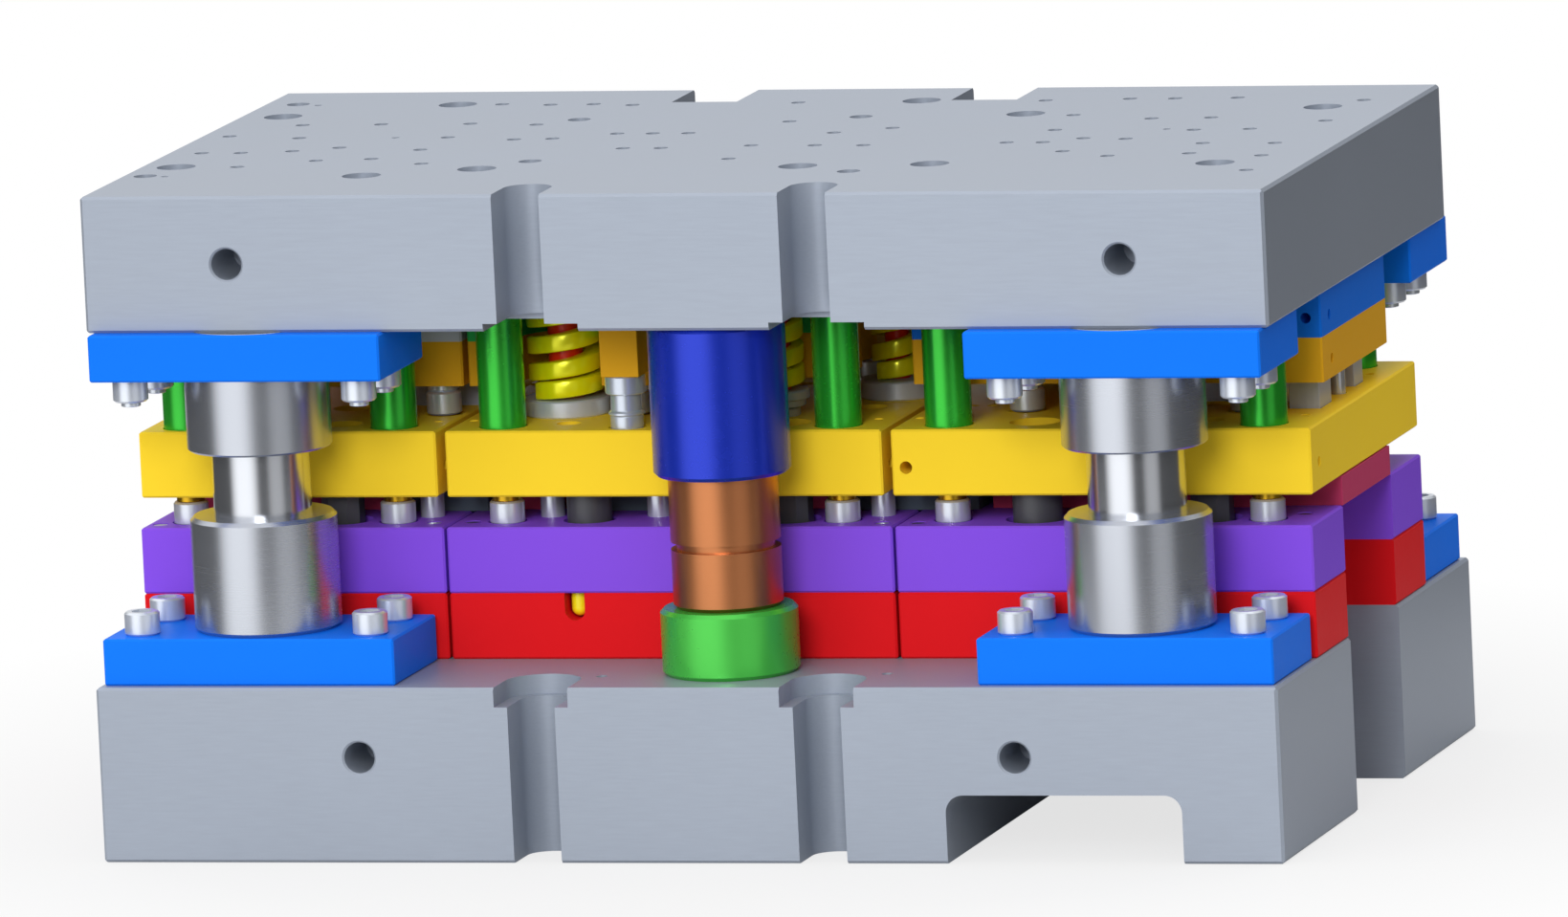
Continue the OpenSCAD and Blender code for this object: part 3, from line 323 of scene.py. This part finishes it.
# cushion cups
# Under the end block there is no floor, because the chute is cut away there. Turned
# steel cups, screwed up into the backing plate, carry the last pair of cushions.
CUP_RADIUS, CUP_BORE, CUP_TOP, CUP_FLOOR, CUP_EDGE = 0.0076, 0.0051, 0.0899, 0.0725, 0.0008
cup_steps = [
    (CUP_RADIUS - CUP_EDGE, CUP_FLOOR), (CUP_RADIUS, CUP_FLOOR + CUP_EDGE), (CUP_RADIUS, CUP_TOP),
    (CUP_BORE, CUP_TOP), (CUP_BORE, CUSHION_FLOOR - CUP_EDGE)]
join([lathe(END_STEM_X, s * BLOCK_ROW, cup_steps) for s in (-1, 1)])
settle("lifter_cushion_cups", turned_steel("cup_turned", srgb(196, 202, 212), 0.32, metal=0.5),
       "lower_die")

# strippers
# The three yellow stripper plates hold the strip flat while the punches pull out
# of it. Dark guides, pressed in from below, enter the die plates first.
stripper_paint = painted("stripper_yellow", srgb(255, 214, 48))
guide_finish = ground_steel("guide_blackened", srgb(78, 79, 82), (10.0, 10.0, 1.0), 0.36)
for station in STATIONS:
    dress("stripper_plate_" + station, stripper_paint)
    dress("stripper_guides_" + station, guide_finish)

# springs
# Each stripper is pushed down by die springs of flat wire, coiled with closed ends
# and painted yellow for their load class. A red rod inside keeps each one straight,
# and it stands on a turned steel seat.
seat_finish = turned_steel("seat_turned", srgb(204, 210, 220), 0.34, metal=0.45)
rod_paint = painted("spring_rod_red", srgb(236, 48, 16), 0.3, 0.4)
spring_paint = painted("spring_wire_yellow", srgb(255, 252, 8), 0.25, 0.5, 0.3)
LIGHT_COIL, HEAVY_COIL, SPRING_ROW, STRIPPER_TRAVEL = 0.027, 0.039, 0.087, 0.0145
SEAT_WIDTH, HEAVY_SEAT, NARROW_SEAT = 0.0405, 0.045, 0.031
SEAT_FOOT, LOW_FOOT, SEAT_TOP, NARROW_TOP = 0.207, 0.2062, 0.216, 0.2205
SPRING_TOP, ROD_TOP = 0.29, 0.2715
HEAVY_ROD, LIGHT_ROD, ROD_SINK, ROD_EDGE = 0.00875, 0.00625, 0.0005, 0.001
WIRE_HEIGHT, COIL_GAP, COIL_PITCH, CLOSED_TURNS = 0.009, 0.0004, 0.0135, 0.9
WALL_SHARE, WIRE_ROUND, WELD = 0.25, 0.0012, 0.00005
COIL_STEPS, COIL_START = 44, math.radians(230)
# station, x, y, outer diameter, width of the seat, its foot and its top
usual = (LIGHT_COIL, SEAT_WIDTH, SEAT_FOOT, SEAT_TOP)
springs = [
    *[("left", -0.24, s * SPRING_ROW, *usual) for s in (-1, 1)],
    ("middle", -0.097, -0.05, HEAVY_COIL, HEAVY_SEAT, SEAT_FOOT, SEAT_TOP),
    ("middle", 0.063, 0.007, LIGHT_COIL, SEAT_WIDTH, LOW_FOOT, SEAT_TOP),
    ("middle", 0.018, -0.059, LIGHT_COIL, NARROW_SEAT, SEAT_FOOT, NARROW_TOP),
    ("middle", -0.025, SPRING_ROW, *usual),
    *[("right", 0.215, s * SPRING_ROW, *usual) for s in (-1, 1)],
]


def coil_part(x, y, outer, wall, z, start, turns, pitch):
    """One stretch of flat wire: its section is swept up and round by a Screw modifier."""
    pick_none()
    bpy.ops.mesh.primitive_plane_add(size=1, location=(0, 0, 0))
    part = bpy.context.object
    bpy.ops.object.mode_set(mode="EDIT")
    bpy.ops.mesh.select_all(action="SELECT")
    bpy.ops.transform.resize(value=(wall, WIRE_HEIGHT, 1))
    bpy.ops.mesh.bevel(affect="VERTICES", offset=WIRE_ROUND, segments=2)
    bpy.ops.mesh.delete(type="ONLY_FACE")
    bpy.ops.object.mode_set(mode="OBJECT")
    stand = Matrix.Rotation(start, 4, "Z") @ Matrix.Translation(
        (outer / 2 - wall / 2, 0, WIRE_HEIGHT / 2)) @ Matrix.Rotation(math.pi / 2, 4, "X")
    part.data.transform(stand)
    screw = part.modifiers.new("coil", "SCREW")
    screw.angle = 2 * math.pi * turns
    screw.screw_offset = pitch * turns
    screw.steps = screw.render_steps = math.ceil(COIL_STEPS * turns)
    screw.use_smooth_shade = True
    bpy.ops.object.modifier_apply(modifier="coil")
    part.data.transform(Matrix.Translation((x, y, z)))
    return part


def die_spring(name, x, y, outer, foot, head):
    """A spring of three stretches: a closed end, the working turns, a closed end."""
    wall = outer * WALL_SHARE
    free = head - foot - WIRE_HEIGHT - 2 * WIRE_HEIGHT * CLOSED_TURNS
    active = max(1, round(free / COIL_PITCH * 2) / 2)
    turns = active + 2 * CLOSED_TURNS
    pitch = (free - COIL_GAP * turns) / active + COIL_GAP
    closed_pitch = WIRE_HEIGHT + COIL_GAP
    rise = closed_pitch * CLOSED_TURNS
    turned = COIL_START + 2 * math.pi * CLOSED_TURNS
    parts = [
        coil_part(x, y, outer, wall, foot, COIL_START, CLOSED_TURNS, closed_pitch),
        coil_part(x, y, outer, wall, foot + rise, turned, active, pitch),
        coil_part(x, y, outer, wall, foot + rise + pitch * active, turned + 2 * math.pi * active,
                  CLOSED_TURNS, closed_pitch),
    ]
    join(parts)
    bpy.ops.object.mode_set(mode="EDIT")
    bpy.ops.mesh.select_mode(type="VERT")
    bpy.ops.mesh.select_all(action="SELECT")
    bpy.ops.mesh.remove_doubles(threshold=WELD)
    bpy.ops.mesh.select_all(action="DESELECT")
    bpy.ops.mesh.select_non_manifold(extend=False, use_wire=False, use_boundary=True,
                                     use_multi_face=False, use_non_contiguous=False)
    bpy.ops.mesh.edge_face_add()
    bpy.ops.mesh.select_all(action="SELECT")
    bpy.ops.mesh.normals_make_consistent(inside=False)
    bpy.ops.object.mode_set(mode="OBJECT")
    return settle(name, spring_paint, "upper_die")


SEAT_EDGE, FLAT_SEAT, SEAT_WAIST, FOOT_RADIUS, NECK_RADIUS = 0.0008, 0.011, 0.002, 0.0105, 0.0085
FOOT_HEIGHT, NECK_HEIGHT, FLARE_HEIGHT = 0.0038, 0.0045, 0.0052


def seat_steps(diameter, foot, head):
    """Radius and height of each turned step: a plain disc, or a taller seat with a neck."""
    wide, edge = diameter / 2, SEAT_EDGE
    if head - foot < FLAT_SEAT:
        return [(wide - edge, foot), (wide, foot + edge), (wide, head - edge), (wide - edge, head)]
    waist = wide - SEAT_WAIST
    return [(FOOT_RADIUS, foot), (FOOT_RADIUS, foot + FOOT_HEIGHT), (NECK_RADIUS, foot + NECK_HEIGHT),
            (waist, foot + FLARE_HEIGHT), (waist, head - FLARE_HEIGHT), (wide, head - NECK_HEIGHT),
            (wide, head - edge), (wide - edge, head)]


for number, (station, x, y, outer, seat, foot, head) in enumerate(springs):
    tag = "%s_%d" % (station, number)
    body = "stripper_" + station
    spring = die_spring("die_spring_" + tag, x, y, outer, head, SPRING_TOP)
    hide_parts("springs_" + station)
    "stripper_%s_travel" % station
    1 - STRIPPER_TRAVEL / (SPRING_TOP - head)
    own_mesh(spring)
    lathe(x, y, seat_steps(seat, foot, head))
    base = settle("spring_seat_" + tag, seat_finish, body)
    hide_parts("spring_seats_" + station)
    rod = HEAVY_ROD if outer == HEAVY_COIL else LIGHT_ROD
    lathe(x, y, [(rod, head - ROD_SINK), (rod, ROD_TOP - ROD_EDGE), (rod - ROD_EDGE, ROD_TOP)],
          ROD_SIDES)
    settle("spring_rod_" + tag, rod_paint, body)

# hangers
# Green steel spools keep the stripper screws at one length. The heads of these
# screws hold the strippers up on brass washers.
dress("stripper_spools", painted("spool_green", srgb(50, 190, 54), 0.26, 0.6, 0.6))
dress("spool_washers", turned_steel("washer_brass", srgb(206, 164, 40), 0.3))

# punch plates
# The ochre punch plates hold the punches, and a hard backing plate over each one
# takes their thrust. Both are screwed up to the shoe together.
punch_plate_paint = painted("punch_plate_ochre", srgb(228, 168, 34))
for station in STATIONS:
    dress("punch_plate_" + station, punch_plate_paint)
dress("punch_backing_left", painted("backing_plate_grey", srgb(190, 193, 203)))
dress("punch_backing_middle", painted("backing_plate_green", srgb(50, 184, 92)))
dress("punch_backing_right", painted("backing_plate_blue", srgb(24, 112, 224)))
dress("front_punch_block", punch_plate_paint)

# punches
# Punches and the front pilot are hardened tool steel. The form punches are ground
# on all sides, the round ones polished.
dress("form_punches", ground_steel("punch_ground", srgb(188, 196, 212), (14.0, 14.0, 1.0), 0.32))
punch_polish = turned_steel("punch_polished", srgb(204, 211, 222), 0.24, metal=0.6)
dress("pierce_punches", punch_polish)
dress("front_pilot", punch_polish)

# gas cylinders
# Two gas cylinders push the halves apart. Their bodies are enamelled blue, their
# rams are copper-coloured, and each ram stands on a green pad.
dress("gas_cylinders", painted("cylinder_enamel", srgb(22, 50, 186), 0.26, 0.6, 0.5))
dress("rams", turned_steel("ram_copper", srgb(190, 122, 78), 0.34))
dress("ram_pads", painted("pad_green", srgb(78, 198, 76), 0.28, 0.5, 0.5))

# studio
# A pale floor under a soft sky, brighter to the front, the left and above. Metals
# mirror upright bright strips, as of soft boxes, and the camera sees plain white.
FLOOR_RADIUS, FLOOR_DROP, FLOOR_WHITE = 0.75, 0.0003, 0.6
bpy.ops.mesh.primitive_circle_add(vertices=ROUND_SIDES, radius=FLOOR_RADIUS, fill_type="NGON",
                                  location=(0, 0, -FLOOR_DROP))
floor = bpy.context.object
floor.name = "floor"
ground = Finish(bpy.data.materials.new("floor_white"))
spread = ground.node("ShaderNodeVectorMath", {"operation": "LENGTH"}, {0: ground.place})
rim = ground.node("ShaderNodeMapRange", None, {
    "Value": spread.named("Value"), "From Min": 0.35, "From Max": 0.7, "To Min": 0.75, "To Max": 1.0})
seen = ground.node("ShaderNodeLightPath").named("Is Camera Ray")
matte = ground.node("ShaderNodeBsdfDiffuse", None, {"Color": (FLOOR_WHITE,) * 3 + (1,)})
glow = ground.node("ShaderNodeEmission", None, {"Color": (1, 1, 1, 1), "Strength": 1.0})
mixed = ground.node("ShaderNodeMixShader", None, {0: seen * rim, 1: matte, 2: glow})
ground.node("ShaderNodeOutputMaterial", None, {"Surface": mixed})
floor.data.materials.append(ground.owner)

SKY_LEVEL = 0.92
world = bpy.data.worlds.new("studio")
bpy.context.scene.world = world
air = Finish(world)
ray = air.node("ShaderNodeLightPath")
seen, mirrored = ray.named("Is Camera Ray"), ray.named("Is Glossy Ray")
toward = air.place.named("Generated")
way = air.node("ShaderNodeSeparateXYZ", None, {0: toward})
level = air.node("ShaderNodeVectorMath", {"operation": "NORMALIZE"}, {
    0: air.node("ShaderNodeVectorMath", {"operation": "MULTIPLY"}, {0: toward, 1: (1, 1, 0)})})


def strip(bearing, inner, outer, power):
    """Brightness of an upright strip of the sky, by the angle from its middle."""
    angle = math.radians(bearing)
    near = air.node("ShaderNodeVectorMath", {"operation": "DOT_PRODUCT"},
                    {0: level, 1: (math.sin(angle), -math.cos(angle), 0)}).named("Value")
    return air.node("ShaderNodeMapRange", {"interpolation_type": "SMOOTHSTEP"}, {
        "Value": near, "From Min": math.cos(math.radians(outer)),
        "From Max": math.cos(math.radians(inner)), "To Min": 0.0, "To Max": power})


strips = strip(-26, 7, 40, 1.5) + strip(51, 4, 24, 0.5) + strip(196, 8, 28, 0.8) + 0.06
height = air.node("ShaderNodeMath", {"operation": "ABSOLUTE"}, {0: way.named("Z")})
low = air.node("ShaderNodeMapRange", {"interpolation_type": "SMOOTHSTEP"},
               {"Value": height, "From Min": 0.3, "From Max": 0.6, "To Min": 1.0, "To Max": 0.0})
slope = way.named("X") * -0.42 + way.named("Y") * -0.1 + way.named("Z") * 0.66 + 0.62
soft = air.node("ShaderNodeMath", {"operation": "MAXIMUM"}, {0: slope * SKY_LEVEL, 1: 0.05})
room = mirrored * low * (strips - soft) + soft
strength = seen * (1 - room) + room
sky = air.node("ShaderNodeBackground", None, {"Color": (1, 1, 1, 1), "Strength": strength})
air.node("ShaderNodeOutputWorld", None, {"Surface": sky})


MIDDLE = Vector((0, 0, 0.17))


def soft_lamp(name, place, size, power):
    """A round soft box that looks at the middle of the die."""
    lamp = bpy.data.lights.new(name, "AREA")
    lamp.shape = "DISK"
    lamp.size = size
    lamp.energy = power
    holder = bpy.data.objects.new(name, lamp)
    bpy.context.scene.collection.objects.link(holder)
    holder.location = place
    holder.rotation_euler = (MIDDLE - Vector(place)).to_track_quat("-Z", "Y").to_euler()


soft_lamp("key_lamp", (-1.6, -3.2, 2.6), 1.6, 6)
soft_lamp("top_lamp", (0.3, 0.6, 4.0), 2.4, 19)
soft_lamp("front_lamp", (0.3, -3.7, 1.6), 1.6, 70)

# camera
# The drawing has next to no perspective, so the lens is very long and far away. It
# is placed by the near right corner of the lower shoe, in pixels and in metres.
AZIMUTH, ELEVATION, ROLL = math.radians(16.0), math.radians(8.8), math.radians(2.7)
PIXELS_PER_MM, FRAME_WIDTH, FRAME_HEIGHT = 2.042, 1639, 959
CORNER_PIXEL, CORNER = (1332.5, 895.0), Vector((0.31, -0.199, 0.0))
DISTANCE = 12.0
right = Vector((math.cos(AZIMUTH), math.sin(AZIMUTH), 0))
up = Vector((-math.sin(AZIMUTH) * math.sin(ELEVATION), math.cos(AZIMUTH) * math.sin(ELEVATION),
             math.cos(ELEVATION)))
right, up = (right * math.cos(ROLL) - up * math.sin(ROLL),
             right * math.sin(ROLL) + up * math.cos(ROLL))
back = right.cross(up)
shift_x = (FRAME_WIDTH / 2 - CORNER_PIXEL[0]) / PIXELS_PER_MM / 1000 + CORNER.dot(right)
shift_y = (CORNER_PIXEL[1] - FRAME_HEIGHT / 2) / PIXELS_PER_MM / 1000 + CORNER.dot(up)
target = right * shift_x + up * shift_y + back * MIDDLE.dot(back)
eye = bpy.data.cameras.new("camera")
eye.sensor_width = 36
eye.lens = 36 * DISTANCE / (FRAME_WIDTH / PIXELS_PER_MM / 1000)
eye.clip_end = 100
camera = bpy.data.objects.new("camera", eye)
bpy.context.scene.collection.objects.link(camera)
camera.matrix_world = Matrix.Translation(target + back * DISTANCE) @ Matrix(
    (right, up, back)).transposed().to_4x4()
bpy.context.scene.camera = camera
bpy.context.scene.view_settings.view_transform = "Standard"
